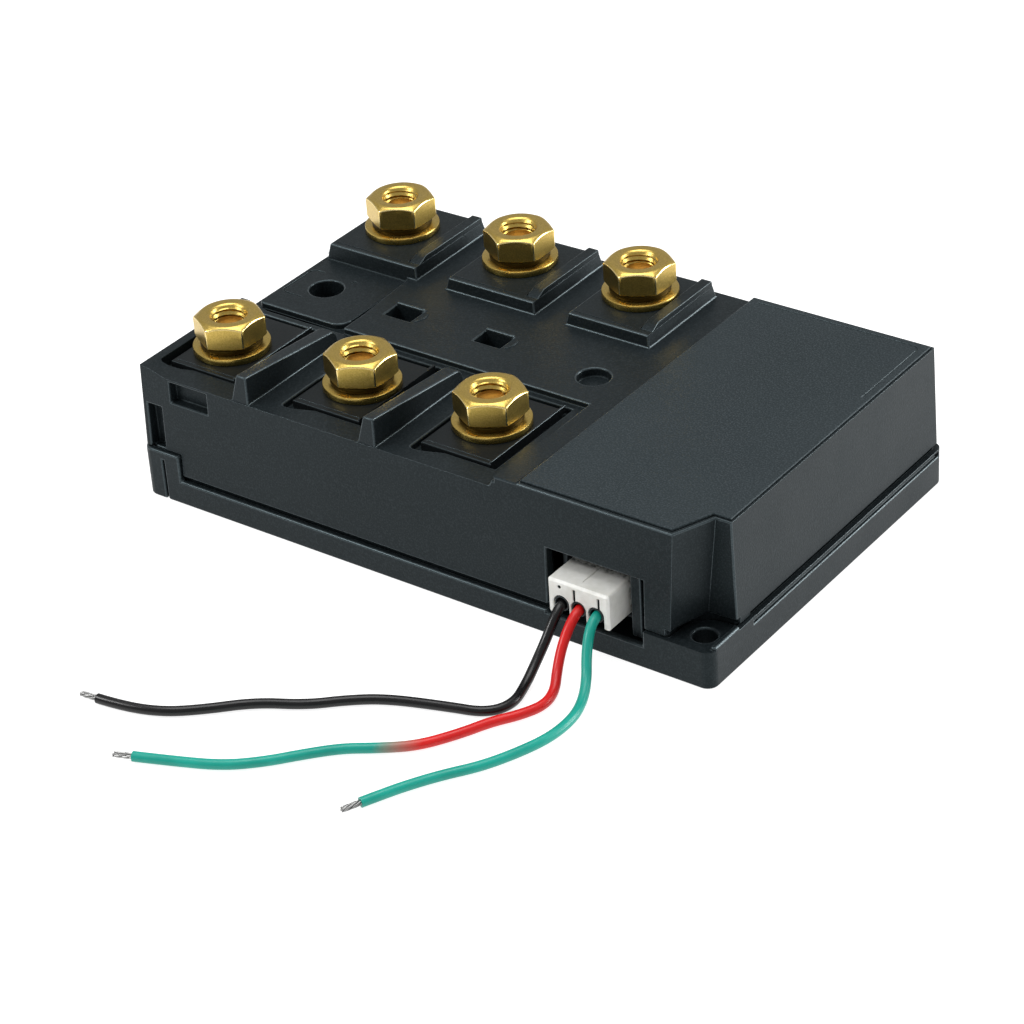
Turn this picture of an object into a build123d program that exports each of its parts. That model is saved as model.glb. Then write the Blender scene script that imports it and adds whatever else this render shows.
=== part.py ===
"""Battery monitor shunt: three shunt channels and their measuring board in one moulded case.

Frame: the origin is the centre of the case's footprint, on the surface it stands on.
+X runs along the long front face, -Y is the front face with the plug, +Z is up.
All sizes are in millimetres.
"""

from build123d import *
import math
import os

os.makedirs("parts", exist_ok=True)


def save(builder, label):
    """Name a finished piece and write it as its own STEP file."""
    builder.part.label = label
    export_step(builder.part, f"parts/{label}.step")


# ---------------------------------------------------------------- driving dimensions
base_length = 138.3
base_width = 86.4
base_corner = 2.4
tray_wall = 1.5
tray_floor = 2.6
front_band = 5.5
side_band = 8.2
post_top = 11.3
post_right = -59.4

shell_inset = 0.65
shell_left_inset = 0.15
shell_corner = 1.2
shell_draft = 2.0
shell_bottom = 6.5
side_seam_top = 9.2
tongue_bottom = 3.0
tongue_gap = 0.1

rim_z = 30.9
lid_z = 31.3
deck_z = 29.8
bay_z = 28.5
seat_z = 29.0
block_z = 32.4
ledge_pad_z = 28.9
plate_under_z = 25.5

left_edge = -base_length / 2
right_edge = base_length / 2
front_edge = -base_width / 2
back_edge = base_width / 2

front_nuts = [(-57.1, -25.6), (-24.3, -24.4), (6.9, -23.5)]
rear_nuts = [(-54.5, 28.6), (-23.8, 29.0), (6.3, 29.2)]

deck_wall_y = -9.0
lid_left = 26.0
lid_right = 67.1
lid_front = -40.6
lid_back = 41.2
beside_lid = 20.4

hole_x, hole_y = 64.5, -38.0
screw_hole_r = 2.4
lug_left, lug_back = 59.0, -32.2
lug_round = 6.7
shaft_x, shaft_y = -56.2, 4.0
shaft_r = 3.65
column_r = 4.3

plug_x = 41.7
plug_width = 13.8
plug_bottom, plug_top = 7.8, 15.6
plug_front, plug_back = -46.0, -34.0
wire_pitch = 3.9
wire_z = 10.6
recess_left, recess_right = 32.0, 53.9
recess_bottom, recess_top = 5.0, 18.9

washer_r = 8.0
washer_t = 1.5
lock_r = 6.4
lock_t = 1.2
lock_split = 0.8
washer_hole_r = 4.2
nut_flats = 13.0
nut_height = 5.3
thread_core_r = 3.25
nut_bore_r = 3.32
stud_r = 3.9
shank_above_pad = 2.4
stud_above_pad = 5.8
nut_seat = washer_t + lock_t

case_screws = [(-61.0, -36.2), (-40.5, 35.0), (26.8, -37.4), (56.4, -35.0), (62.8, 37.2)]
board_posts = [(31.5, -24.5), (60.0, -24.5), (31.5, 29.5), (60.0, 29.5)]
board_bottom = 5.0
board_t = 1.6
board_top = board_bottom + board_t

wire_r = 1.0


# ---------------------------------------------------------------- base tray
tray_inner_length = base_length - 2 * tray_wall
tray_inner_width = base_width - 2 * tray_wall
slit_x, slit_width, slit_depth, slit_top = -63.7, 0.5, 0.8, 9.3
tab_front, tab_back = -32.6, -28.3
groove_bottom, groove_height, groove_depth = 6.6, 1.2, 0.7

with BuildPart() as base_tray:
    with BuildSketch():
        Rectangle(base_length, base_width)
        fillet(vertices(), base_corner)
    extrude(amount=post_top)
    # hollow inside the band
    with BuildSketch(Plane.XY.offset(tray_floor)):
        Rectangle(tray_inner_length, tray_inner_width)
        fillet(vertices(), base_corner - tray_wall + 0.3)
    extrude(amount=post_top, mode=Mode.SUBTRACT)
    # the band steps down from the corner post to the side and the front heights
    with BuildSketch(Plane.XY.offset(side_band)):
        with Locations((0, 0)):
            Rectangle(base_length + 2, base_width + 2)
        with Locations((left_edge - 1, front_edge - 1)):
            Rectangle(post_right - left_edge + 1, 12.0, align=(Align.MIN, Align.MIN), mode=Mode.SUBTRACT)
    extrude(amount=post_top, mode=Mode.SUBTRACT)
    with BuildSketch(Plane.XY.offset(front_band)):
        with Locations((post_right, front_edge - 1)):
            Rectangle(recess_right - post_right, 6.0, align=(Align.MIN, Align.MIN))
    extrude(amount=post_top, mode=Mode.SUBTRACT)
    with BuildSketch(Plane.XY.offset(recess_bottom)):
        with Locations((recess_left, front_edge - 1)):
            Rectangle(recess_right - recess_left, 6.0, align=(Align.MIN, Align.MIN))
    extrude(amount=post_top, mode=Mode.SUBTRACT)
    # mounting lug with its curved inner boundary
    with BuildSketch() as lug_outline:
        with Locations((lug_left, lug_back)):
            Rectangle(right_edge - lug_left, lug_back - front_edge, align=(Align.MIN, Align.MAX))
        fillet(vertices().group_by(Axis.X)[0].sort_by(Axis.Y)[-1], lug_round)
        fillet(vertices().group_by(Axis.X)[-1].sort_by(Axis.Y)[0], base_corner)
    extrude(amount=side_band)
    # raised lip along the lug's outer side
    with BuildSketch(Plane.XY.offset(side_band)):
        with Locations((right_edge, tab_front - 0.6)):
            Rectangle(1.2, 8.4, align=(Align.MAX, Align.MAX))
    extrude(amount=0.7)
    # shadow groove along the right side, under the lip that meets the shell
    with BuildSketch(Plane.XY.offset(groove_bottom)):
        with Locations((right_edge + 1, tab_back)):
            Rectangle(1 + groove_depth, back_edge - 2.0 - tab_back, align=(Align.MAX, Align.MIN))
    extrude(amount=groove_height, mode=Mode.SUBTRACT)
    # posts for the board, and pads for the case screws
    with BuildSketch(Plane.XY.offset(tray_floor)):
        with Locations(*board_posts):
            Circle(3.0)
    extrude(amount=board_bottom - tray_floor)
    with BuildSketch(Plane.XY.offset(board_bottom)):
        with Locations(*board_posts):
            Circle(1.0)
    extrude(amount=-3.4, mode=Mode.SUBTRACT)
    # holes: lug, floor of the screw shaft, countersunk case screws
    with Locations((hole_x, hole_y, side_band), (shaft_x, shaft_y, tray_floor)):
        Hole(screw_hole_r, depth=side_band)
    with BuildSketch():
        with Locations(*case_screws):
            Circle(1.85)
    extrude(amount=tray_floor, mode=Mode.SUBTRACT)
    with BuildSketch():
        with Locations(*case_screws):
            Circle(3.1)
    extrude(amount=1.3, taper=45, mode=Mode.SUBTRACT)
    # moulding slit at the front left corner
    with BuildSketch():
        with Locations((slit_x, front_edge)):
            Rectangle(slit_width, 2 * slit_depth)
    extrude(amount=slit_top, mode=Mode.SUBTRACT)
    fillet(base_tray.edges().group_by(Axis.Z)[0].filter_by(lambda e: e.length > 60), 0.5)
save(base_tray, "base_tray")


# ---------------------------------------------------------------- upper shell
shell_length = base_length - shell_inset - shell_left_inset
shell_width = base_width - 2 * shell_inset
tongue_length = tray_inner_length - 2 * tongue_gap
tongue_width = tray_inner_width - 2 * tongue_gap
tongue_corner = 1.3
seat_x = [-56.6, -24.8, 7.0]
seat_left, seat_right = 8.1, 8.5
seat_front, seat_back = -36.0, -12.2
moat_side, moat_back, moat_front, moat_bottom = 1.3, 1.5, 0.25, 27.0
rib_right = 16.9
rib_top_w, rib_foot_w = 2.4, 4.5
rib_front_z, rib_back_z = 34.9, 32.0
rib_back_y = -12.6
block_spans = [(-64.4, -40.6), (-33.0, -10.3), (-2.6, 17.8)]
block_front, block_back = 14.9, 39.9
block_root_z, block_draft = 27.2, 10.0
rear_rib_z = 33.5
side_ledge_z, side_ledge_x = 26.4, -65.3
chamber_left, chamber_front = -64.8, -39.0
window_floor = 39.9
boss_r = 2.9
pad_front_y, pad_right_x = -7.4, -43.0
pad_round = 3.0
slot_centres = [(-34.4, 2.2), (-11.8, 2.4)]
slot_size = (6.6, 4.4)
slot_depth = 3.4
dimple_x, dimple_y, dimple_r = 14.5, 0.2, 3.45

with BuildPart() as upper_shell:
    # drafted outer body over the straight tongue that sits inside the tray
    with BuildSketch(Plane.XY.offset(shell_bottom)):
        with Locations(((shell_left_inset - shell_inset) / 2, 0)):
            Rectangle(shell_length, shell_width)
        fillet(vertices(), shell_corner)
    extrude(amount=rim_z - shell_bottom, taper=shell_draft)
    with BuildSketch(Plane.XY.offset(tongue_bottom)) as tongue:
        Rectangle(tongue_length, tongue_width)
        fillet(vertices(), tongue_corner)
    extrude(amount=shell_bottom - tongue_bottom)

    # seam: the sides stop higher than the front, the corner clears the post
    with BuildSketch(Plane.XY.offset(shell_bottom)) as side_seam:
        Rectangle(base_length + 4, base_width + 4)
        add(tongue.sketch.moved(Location((0, 0, shell_bottom - tongue_bottom))), mode=Mode.SUBTRACT)
        with Locations((post_right, front_edge - 3)):
            Rectangle(lug_left - post_right, 12.0, align=(Align.MIN, Align.MIN), mode=Mode.SUBTRACT)
        with Locations((lug_left, tab_front - 1)):
            Rectangle(15, tab_back - tab_front + 1, align=(Align.MIN, Align.MIN), mode=Mode.SUBTRACT)
    extrude(amount=side_seam_top - shell_bottom, mode=Mode.SUBTRACT)
    with BuildSketch(Plane.XY.offset(shell_bottom)) as tab_seam:
        with Locations((lug_left, tab_front - 1)):
            Rectangle(15, tab_back - tab_front + 2, align=(Align.MIN, Align.MIN))
        add(tongue.sketch.moved(Location((0, 0, shell_bottom - tongue_bottom))), mode=Mode.SUBTRACT)
    extrude(amount=side_band + 0.15 - shell_bottom, mode=Mode.SUBTRACT)
    with BuildSketch(Plane.XY.offset(shell_bottom)) as front_right_seam:
        with Locations((recess_right - 1, front_edge - 3)):
            Rectangle(lug_left - recess_right + 2, 3 + base_width / 2 - tongue_width / 2,
                      align=(Align.MIN, Align.MIN))
    extrude(amount=side_band + 0.15 - shell_bottom, mode=Mode.SUBTRACT)
    with BuildSketch(Plane.XY.offset(shell_bottom)) as post_seam:
        with Locations((left_edge - 2, front_edge - 2)):
            Rectangle(post_right - left_edge + 2.15, 13.2, align=(Align.MIN, Align.MIN))
        add(tongue.sketch.moved(Location((0, 0, shell_bottom - tongue_bottom))), mode=Mode.SUBTRACT)
    extrude(amount=post_top + 0.15 - shell_bottom, mode=Mode.SUBTRACT)

    # mounting pad level at the rear left, with the channel round its front and right sides
    with BuildSketch(Plane.XY.offset(ledge_pad_z)):
        with Locations((pad_right_x, pad_front_y)):
            Rectangle(40, block_front - pad_front_y + 1, align=(Align.MAX, Align.MIN))
        fillet(vertices().group_by(Axis.X)[-1].sort_by(Axis.Y)[0], pad_round)
    extrude(amount=5, mode=Mode.SUBTRACT)
    with BuildSketch(Plane.XY.offset(27.6)):
        with BuildLine():
            Polyline((-66.2, -9.05), (-41.4, -9.05), (-41.5, -2.0), (-42.8, 14.0), (-66.2, 14.0), close=True)
        make_face()
        with Locations((pad_right_x, pad_front_y)):
            Rectangle(40, 40, align=(Align.MAX, Align.MIN), mode=Mode.SUBTRACT)
    extrude(amount=6, mode=Mode.SUBTRACT)
    with BuildSketch(Plane.XY.offset(27.6)):
        with Locations((pad_right_x + 0.5, pad_front_y - 0.5)):
            Rectangle(pad_round + 0.5, pad_round + 0.5, align=(Align.MAX, Align.MIN))
        with Locations((pad_right_x - pad_round, pad_front_y + pad_round)):
            Circle(pad_round, mode=Mode.SUBTRACT)
    extrude(amount=6, mode=Mode.SUBTRACT)

    # the left wall steps down outside the pad level and the first terminal block
    with BuildSketch(Plane.XY.offset(side_ledge_z)):
        with Locations((side_ledge_x, deck_wall_y)):
            Rectangle(10, 60, align=(Align.MAX, Align.MIN))
        with Locations((side_ledge_x + 1.2, deck_wall_y + 0.6)):
            Rectangle(1.2, 2.2, align=(Align.MAX, Align.MIN))
        with Locations((side_ledge_x + 1.2, deck_wall_y + 2.8)):
            Circle(1.2, mode=Mode.SUBTRACT)
    extrude(amount=10, mode=Mode.SUBTRACT)

    # deck level, and the strip beside the lid that rises to the front edge
    with BuildSketch(Plane.XY.offset(deck_z)):
        with Locations((beside_lid, 0)):
            Rectangle(100, base_width + 4, align=(Align.MAX, Align.CENTER))
        with Locations((beside_lid - 1, deck_wall_y)):
            Rectangle(lid_left - beside_lid + 0.6, 60, align=(Align.MIN, Align.MIN))
    extrude(amount=6, mode=Mode.SUBTRACT)
    with BuildSketch(Plane.YZ.offset(beside_lid - 1)):
        with BuildLine():
            Polyline((deck_wall_y, deck_z), (front_edge, rim_z), (front_edge, rim_z + 3),
                     (deck_wall_y, rim_z + 3), close=True)
        make_face()
    extrude(amount=lid_left - beside_lid + 0.6, mode=Mode.SUBTRACT)

    # the three open bays in front, with one floor that ramps up to the left rim
    with BuildSketch(Plane.XZ.offset(-deck_wall_y)):
        with BuildLine():
            Polyline((-66.3, deck_z), (-61.2, bay_z), (19.2, bay_z), (beside_lid, rim_z),
                     (beside_lid, rim_z + 3), (-66.3, rim_z + 3), close=True)
        make_face()
    extrude(amount=40, mode=Mode.SUBTRACT)

    # pockets for the three front terminal seats
    with BuildSketch(Plane.XY.offset(moat_bottom)):
        for middle_x in seat_x:
            with Locations((middle_x - seat_left - moat_side, seat_front - moat_front)):
                Rectangle(seat_left + seat_right + 2 * moat_side, seat_back - seat_front + moat_front + moat_back,
                          align=(Align.MIN, Align.MIN))
    extrude(amount=5, mode=Mode.SUBTRACT)
    # each moat turns round the seat's front left corner and tapers off
    for middle_x in seat_x:
        corner_x = middle_x - seat_left
        with BuildSketch(Plane.XY.offset(moat_bottom)):
            with BuildLine():
                Polyline((corner_x - moat_side, seat_front + 1.5), (corner_x - moat_side, seat_front - 2.0),
                         (corner_x + 1.0, seat_front - 2.0), (corner_x + 6.0, seat_front - moat_front),
                         (corner_x + 6.0, seat_front + 1.5), close=True)
            make_face()
            fillet(vertices().group_by(Axis.Y)[0], 0.9)
        extrude(amount=5, mode=Mode.SUBTRACT)

    # front ribs: upright right side, sloping left side, falling towards the deck and rounded off there
    for middle_x in seat_x[:2]:
        rib_x = middle_x + rib_right
        with BuildSketch(Plane.XZ.offset(-rib_back_y)):
            with BuildLine():
                Polyline((rib_x - rib_foot_w, bay_z - 0.5), (rib_x - rib_top_w, rib_front_z), (rib_x, rib_front_z),
                         (rib_x, bay_z - 0.5), close=True)
            make_face()
        extrude(amount=41.65 + rib_back_y)
    with BuildSketch(Plane.YZ.offset(-60)):
        with BuildLine():
            Polyline((front_edge, rib_front_z), (rib_back_y - 2.0, rib_back_z), (rib_back_y - 1.1, rib_back_z - 0.4),
                     (rib_back_y - 0.5, rib_back_z - 1.2), (rib_back_y, bay_z), (deck_wall_y, bay_z),
                     (deck_wall_y, 38), (front_edge, 38), close=True)
        make_face()
    extrude(amount=70, mode=Mode.SUBTRACT)

    # raised rear terminal blocks with drafted sides, each with a rib on its right side
    draft_run = (deck_z - block_root_z) * math.tan(math.radians(block_draft))
    top_run = (block_z - deck_z) * math.tan(math.radians(block_draft))
    for left, right in block_spans:
        with BuildSketch(Plane.XY.offset(block_root_z)):
            with Locations((left - draft_run, block_front - draft_run)):
                Rectangle(right - left + 2 * draft_run, block_back - block_front + 2 * draft_run,
                          align=(Align.MIN, Align.MIN))
        extrude(amount=block_z - block_root_z, taper=block_draft)
        with BuildSketch(Plane.XZ.offset(-block_back + top_run)):
            with BuildLine():
                Polyline((right - 3.4, block_z - 0.5), (right - 3.1, rear_rib_z), (right - top_run - 0.2, rear_rib_z),
                         (right - top_run, block_z - 0.5), close=True)
            make_face()
        extrude(amount=block_back - block_front - 2.6)
        with BuildSketch(Plane.YZ.offset(right - 6)):
            with BuildLine():
                Polyline((block_front + 2.0, block_z), (block_front + 4.6, rear_rib_z),
                         (block_front, rear_rib_z), (block_front, block_z), close=True)
            make_face()
        extrude(amount=7, mode=Mode.SUBTRACT)
        # fine line just behind the block's front edge
        with BuildSketch(Plane.XY.offset(block_z - 0.12)):
            with Locations((left + 0.9, block_front + 1.5)):
                Rectangle(right - left - 6.0, 0.3, align=(Align.MIN, Align.MIN))
        extrude(amount=1, mode=Mode.SUBTRACT)

    # lid rebate, following the corner notch
    with BuildSketch(Plane.XY.offset(lid_z - 1.7)):
        with BuildLine():
            Polyline((lid_left - 0.1, lid_front - 0.1), (59.9, lid_front - 0.1), (63.5, -32.2),
                     (lid_right + 0.1, -32.2), (lid_right + 0.1, lid_back + 0.1), (lid_left - 0.1, lid_back + 0.1),
                     close=True)
        make_face()
    extrude(amount=4, mode=Mode.SUBTRACT)

    # corner notch over the lug: two flat walls above, the lug's curve at the bottom
    with BuildSketch(Plane.XY.offset(tongue_bottom - 0.5)):
        with BuildLine():
            Polyline((59.6, -50), (59.6, -41.2), (61.6, -33.4), (75, -32.5), (75, -50), close=True)
        make_face()
    with BuildSketch(Plane.XY.offset(rim_z + 0.5)):
        with BuildLine():
            Polyline((60.6, -50), (60.6, -41.7), (64.3, -32.9), (75, -32.9), (75, -50), close=True)
        make_face()
    loft(mode=Mode.SUBTRACT)
    with BuildSketch(Plane.XY.offset(tongue_bottom - 0.5)):
        with Locations((lug_left - 0.15, lug_back + 0.15)):
            Rectangle(14, 14, align=(Align.MIN, Align.MAX))
        fillet(vertices().group_by(Axis.X)[0].sort_by(Axis.Y)[-1], lug_round)
    extrude(amount=9.7 - tongue_bottom + 0.5, mode=Mode.SUBTRACT)

    # hollow: shunt chamber on the left, board chamber on the right, open under the lid
    with BuildSketch(Plane.XY.offset(tongue_bottom - 0.1)):
        with Locations((chamber_left, chamber_front)):
            Rectangle(22.2 - chamber_left, 39.7 - chamber_front, align=(Align.MIN, Align.MIN))
        fillet(vertices(), 1.5)
    extrude(amount=plate_under_z - tongue_bottom + 0.1, mode=Mode.SUBTRACT)
    with BuildSketch(Plane.XY.offset(tongue_bottom - 0.1)):
        with BuildLine():
            Polyline((24.4, -39.9), (56.6, -39.9), (57.2, -30.0), (65.2, -30.0), (65.2, 39.7), (24.4, 39.7),
                     close=True)
        make_face()
    extrude(amount=27.8 - tongue_bottom, mode=Mode.SUBTRACT)
    with BuildSketch(Plane.XY.offset(27.0)):
        with BuildLine():
            Polyline((28.0, -38.4), (57.0, -38.4), (59.6, -29.6), (64.8, -29.6), (64.8, 38.8), (28.0, 38.8),
                     close=True)
        make_face()
    extrude(amount=5, mode=Mode.SUBTRACT)
    # gap under the partition for the sense leads
    with BuildSketch(Plane.YZ.offset(20)):
        with Locations((0, tongue_bottom - 0.5)):
            Rectangle(70, 6.5, align=(Align.CENTER, Align.MIN))
    extrude(amount=6, mode=Mode.SUBTRACT)

    # screw shaft and bosses for the case screws
    with BuildSketch(Plane.XY.offset(tray_floor)):
        with Locations((shaft_x, shaft_y)):
            Circle(column_r)
        with Locations(*case_screws):
            Circle(boss_r)
    extrude(amount=plate_under_z - tray_floor + 0.5)
    with BuildSketch(Plane.XY.offset(tray_floor)):
        with Locations((shaft_x, shaft_y)):
            Circle(shaft_r)
    extrude(amount=20 + rim_z, mode=Mode.SUBTRACT)
    with BuildSketch(Plane.XY.offset(tray_floor)):
        with Locations(*case_screws):
            Circle(1.2)
    extrude(amount=12, mode=Mode.SUBTRACT)

    # terminal stud holes
    with BuildSketch(Plane.XY.offset(plate_under_z - 1)):
        with Locations(*front_nuts, *rear_nuts):
            Circle(stud_r + 0.3)
    extrude(amount=10, mode=Mode.SUBTRACT)

    # plug recess with its inner bar
    with BuildSketch(Plane.XZ.offset(39.5)):
        with Locations((recess_left, tongue_bottom - 0.5)):
            Rectangle(recess_right - recess_left, recess_top - tongue_bottom + 0.5, align=(Align.MIN, Align.MIN))
    extrude(amount=6, mode=Mode.SUBTRACT)
    with BuildSketch(Plane.XZ.offset(39.6)):
        with Locations((50.3, recess_bottom)):
            Rectangle(2.4, recess_top - recess_bottom + 1, align=(Align.MIN, Align.MIN))
    extrude(amount=1.6)

    # latch windows and the fine crease at the front left corner
    with BuildSketch(Plane.XZ.offset(window_floor)):
        with Locations((-55.6, 25.6)):
            Rectangle(9.6, 4.6)
        with Locations((-65.1, 16.4)):
            Rectangle(3.7, 10.0)
    extrude(amount=4, mode=Mode.SUBTRACT)

    # two latch slots and the round dimple in the deck
    with BuildSketch(Plane.XY.offset(deck_z - slot_depth)):
        with Locations(*slot_centres):
            Rectangle(*slot_size)
    extrude(amount=6, mode=Mode.SUBTRACT)
    with BuildSketch(Plane.XY.offset(deck_z - 1.9)):
        with Locations((dimple_x, dimple_y)):
            Circle(dimple_r)
    extrude(amount=4, mode=Mode.SUBTRACT)
    with BuildSketch(Plane.XY.offset(deck_z)):
        for slot_x, slot_y in slot_centres:
            with Locations((slot_x, slot_y + slot_size[1] / 2 + 0.45)):
                Rectangle(slot_size[0] + 0.4, 0.9)
    extrude(amount=0.6, taper=12)
    # low crescent beside each slot
    with BuildSketch(Plane.XY.offset(deck_z)):
        for slot_x, slot_y in slot_centres:
            with BuildLine():
                ThreePointArc((slot_x + 4.3, slot_y - 1.9), (slot_x + 5.1, slot_y), (slot_x + 4.9, slot_y + 1.9))
            trace(line_width=0.3)
    extrude(amount=0.18)

    # shallow corner mark and ejector dot on the mounting pad level
    with BuildSketch(Plane.XY.offset(ledge_pad_z - 0.2)):
        with BuildLine() as mark:
            FilletPolyline((-58.6, -1.4), (-64.0, -1.4), (-64.0, 9.4), (-61.0, 9.4), radius=1.4)
        trace(line_width=0.35)
        with Locations((-52.6, 9.0)):
            Circle(0.45)
    extrude(amount=1, mode=Mode.SUBTRACT)
save(upper_shell, "upper_shell")


# ---------------------------------------------------------------- compartment lid
border_w, border_depth = 0.35, 0.15

with BuildPart() as compartment_lid:
    with BuildSketch(Plane.XY.offset(lid_z - 1.6)):
        with BuildLine():
            Polyline((lid_left, lid_front), (59.8, lid_front), (63.4, -32.1), (lid_right, -32.1),
                     (lid_right, lid_back), (lid_left, lid_back), close=True)
        make_face()
    extrude(amount=1.6)
    fillet(compartment_lid.edges().group_by(Axis.Z)[-1], 0.3)
    # locating ring that drops into the opening
    with BuildSketch(Plane.XY.offset(lid_z - 3.4)) as ring:
        with BuildLine():
            Polyline((28.2, -38.2), (56.9, -38.2), (59.5, -29.4), (64.6, -29.4), (64.6, 38.6), (28.2, 38.6),
                     close=True)
        make_face()
        offset(amount=-1.2, mode=Mode.SUBTRACT)
    extrude(amount=1.9)
    # fine border line along the back and right of the label area
    with BuildSketch(Plane.XY.offset(lid_z - border_depth)):
        with BuildLine():
            FilletPolyline((28.0, 39.6), (65.5, 39.6), (65.5, 17.0), radius=1.6)
        trace(line_width=border_w)
    extrude(amount=1, mode=Mode.SUBTRACT)
save(compartment_lid, "compartment_lid")


# ---------------------------------------------------------------- front terminal seats
def terminal_seat(middle_x, nut_place, label):
    """Loose insulating seat in its pocket, with a thin fin along its right edge."""
    width = seat_left + seat_right
    with BuildPart() as seat:
        with BuildSketch(Plane.XY.offset(moat_bottom)):
            with Locations((middle_x - seat_left, seat_front)):
                Rectangle(width, seat_back - seat_front, align=(Align.MIN, Align.MIN))
        extrude(amount=seat_z - moat_bottom)
        fillet(seat.edges().group_by(Axis.Z)[-1], 0.35)
        with BuildSketch(Plane.XY.offset(seat_z - 0.12)):
            with Locations((middle_x + 0.2, seat_front + 1.0)):
                Rectangle(width - 1.6, 0.3)
        extrude(amount=1, mode=Mode.SUBTRACT)
        with BuildSketch(Plane.XY.offset(moat_bottom + 0.5)):
            with Locations((middle_x + seat_right, seat_front + 0.4)):
                Rectangle(0.5, seat_back - seat_front + 0.9, align=(Align.MAX, Align.MIN))
        extrude(amount=seat_z + 0.25 - moat_bottom - 0.5)
        with BuildSketch(Plane.XY.offset(seat_z)):
            with Locations(nut_place):
                Circle(washer_r + 0.3)
        extrude(amount=1, mode=Mode.SUBTRACT)
        with BuildSketch(Plane.XY.offset(moat_bottom)):
            with Locations(nut_place):
                Circle(stud_r + 0.3)
        extrude(amount=5, mode=Mode.SUBTRACT)
    save(seat, label)


for index in range(3):
    terminal_seat(seat_x[index], front_nuts[index], f"terminal_seat_front_{index + 1}")


# ---------------------------------------------------------------- terminals
flange_r, flange_t = 5.4, 2.0
copper_half = 7.4
front_copper_length, rear_copper_length = 14.8, 16.0
copper_bottom = 16.5


def terminal_studs(places, pad_z, label):
    """Studs: flange under the copper block, plain shank, and the thread's core inside the nut."""
    with BuildPart() as studs:
        with BuildSketch(Plane.XY.offset(copper_bottom - flange_t)):
            with Locations(*places):
                Circle(flange_r)
        extrude(amount=flange_t)
        with BuildSketch(Plane.XY.offset(copper_bottom)):
            with Locations(*places):
                Circle(stud_r)
        extrude(amount=pad_z + shank_above_pad - copper_bottom)
        with BuildSketch(Plane.XY.offset(pad_z + shank_above_pad)):
            with Locations(*places):
                Circle(thread_core_r)
        extrude(amount=stud_above_pad - shank_above_pad)
        chamfer(studs.faces().group_by(Axis.Z)[-1].edges(), 0.4)
    save(studs, label)


def flat_washer(nut_x, nut_y, pad_z, label):
    """Plain round washer that carries the cable lug's pressure."""
    with BuildPart() as washer:
        with BuildSketch(Plane.XY.offset(pad_z)):
            with Locations((nut_x, nut_y)):
                Circle(washer_r)
                Circle(washer_hole_r, mode=Mode.SUBTRACT)
        extrude(amount=washer_t)
        outer_edges = washer.edges().filter_by(GeomType.CIRCLE).filter_by(lambda e: e.radius > washer_hole_r + 1)
        fillet(outer_edges, 0.25)
    save(washer, label)


def lock_washer(nut_x, nut_y, pad_z, label):
    """Split spring washer between the plain washer and the nut."""
    with BuildPart() as washer:
        with BuildSketch(Plane.XY.offset(pad_z + washer_t)):
            with Locations((nut_x, nut_y)):
                Circle(lock_r)
                Circle(washer_hole_r, mode=Mode.SUBTRACT)
            with Locations(Location((nut_x - 3.7, nut_y + 3.7), -45)):
                Rectangle(6.0, lock_split, mode=Mode.SUBTRACT)
        extrude(amount=lock_t)
    save(washer, label)


def hex_nut(nut_x, nut_y, pad_z, label):
    """Tall hexagon nut, rounded off at the top corners, with a countersunk bore."""
    foot = pad_z + nut_seat
    top = foot + nut_height
    with BuildPart() as nut:
        with BuildSketch(Plane.XY.offset(foot)):
            with Locations((nut_x, nut_y)):
                RegularPolygon(radius=nut_flats / 2, side_count=6, major_radius=False, rotation=30)
        extrude(amount=nut_height)
        with BuildSketch(Plane.XZ.offset(-nut_y)):
            with BuildLine():
                Polyline((nut_x, foot), (nut_x + 7.15, foot), (nut_x + 7.6, foot + 0.3), (nut_x + 7.6, top - 0.75),
                         (nut_x + 6.3, top), (nut_x, top), close=True)
            make_face()
        revolve(axis=Axis((nut_x, nut_y, 0), (0, 0, 1)), mode=Mode.INTERSECT)
        with BuildSketch(Plane.XY.offset(foot)):
            with Locations((nut_x, nut_y)):
                Circle(nut_bore_r)
        extrude(amount=nut_height, mode=Mode.SUBTRACT)
        with BuildSketch(Plane.XZ.offset(-nut_y)):
            with BuildLine():
                Polyline((nut_x, top + 0.1), (nut_x + 4.0, top + 0.1), (nut_x + 3.3, top - 0.7), (nut_x, top - 0.7),
                         close=True)
            make_face()
        revolve(axis=Axis((nut_x, nut_y, 0), (0, 0, 1)), mode=Mode.SUBTRACT)
    save(nut, label)


terminal_studs(front_nuts, seat_z, "terminal_studs_front")
terminal_studs(rear_nuts, block_z, "terminal_studs_rear")
for row, places, pad_z in (("front", front_nuts, seat_z), ("rear", rear_nuts, block_z)):
    for index, (nut_x, nut_y) in enumerate(places, start=1):
        flat_washer(nut_x, nut_y, pad_z, f"flat_washer_{row}_{index}")
        lock_washer(nut_x, nut_y, pad_z, f"lock_washer_{row}_{index}")
        hex_nut(nut_x, nut_y, pad_z, f"nut_{row}_{index}")


# ---------------------------------------------------------------- shunt channels
channel_x = [-56.0, -24.1, 6.6]
strip_t, strip_height, strip_offset = 1.5, 8.0, 5.35
strip_from_stud = 4.2
strip_bottom = 17.0


def strip_outline(index):
    """Footprint of the two resistance plates of one channel."""
    strip_front = front_nuts[index][1] + strip_from_stud
    strip_back = rear_nuts[index][1] - strip_from_stud
    for side in (-1, 1):
        with Locations((channel_x[index] + side * strip_offset, strip_front)):
            Rectangle(strip_t, strip_back - strip_front, align=(Align.CENTER, Align.MIN))


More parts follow.
